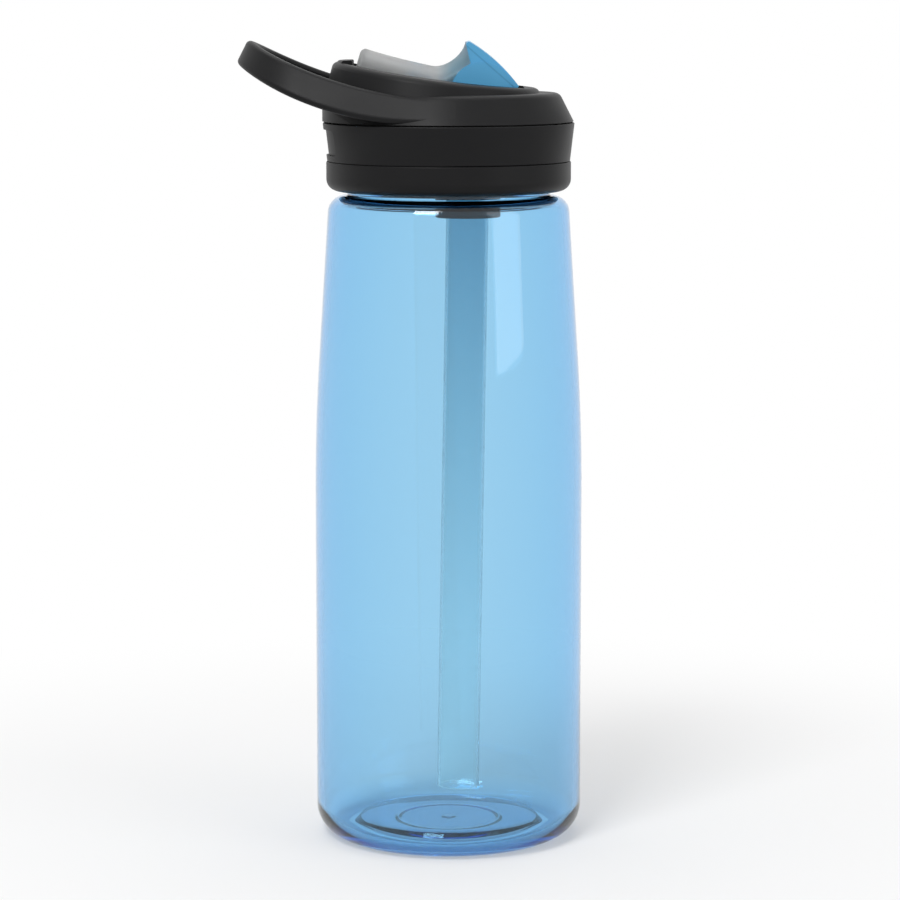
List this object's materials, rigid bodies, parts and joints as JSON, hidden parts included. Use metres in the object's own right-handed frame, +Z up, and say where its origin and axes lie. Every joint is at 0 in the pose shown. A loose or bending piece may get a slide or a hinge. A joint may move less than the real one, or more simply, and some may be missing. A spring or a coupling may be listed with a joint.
{
  "type": "water bottle",
  "caption": "Clear drinking bottle with a screw cap, a fixed carry loop and a flip-up bite-valve spout that drinks through a straw.",
  "frame": {"origin": "centre of the ring foot, on the plane that the bottle stands on", "axes": "+Z up along the bottle's axis, -X towards the carry loop, and the spout's pivot runs along Y"},
  "size_m": [0.1002, 0.0784, 0.2344],
  "materials": {
    "clear_body": "clear tinted copolyester, glossy inside and out",
    "black_cap": "fine-textured black moulding",
    "blue_spout": "satin blue moulding",
    "clear_straw": "tinted extruded tube",
    "grey_silicone": "milky grey silicone, dull"
  },
  "bodies": {
    "bottle": {"bottle": "clear_body"},
    "gasket": {"mouth_gasket": "grey_silicone"},
    "cap": {"cap_shell": "black_cap", "grip_band": "black_cap", "top_cover": "black_cap", "inner_plug": "black_cap", "straw_adapter": "black_cap", "straw": "clear_straw", "vent_valve": "grey_silicone", "spout_seal": "grey_silicone"},
    "spout": {"flip_spout": "blue_spout", "bite_valve": "grey_silicone"}
  },
  "joints": [
    {"name": "cap_lift", "type": "slide", "parent": "bottle", "child": "gasket", "axis": [0, 0, 1], "range_m": [0, 0.005]},
    {"name": "cap_turn", "type": "hinge", "parent": "gasket", "child": "cap", "pos_m": [0, 0, 0.2055], "axis": [0, 0, 1], "range_deg": [0, 450]},
    {"name": "spout_flip", "type": "hinge", "parent": "cap", "child": "spout", "pos_m": [0.0095, 0, 0.2194], "axis": [0, 1, 0], "range_deg": [0, 80]}
  ],
  "couplings": [
    {"joint": "cap_lift", "follows": "cap_turn", "m_per_rad": 0.0006366}
  ]
}
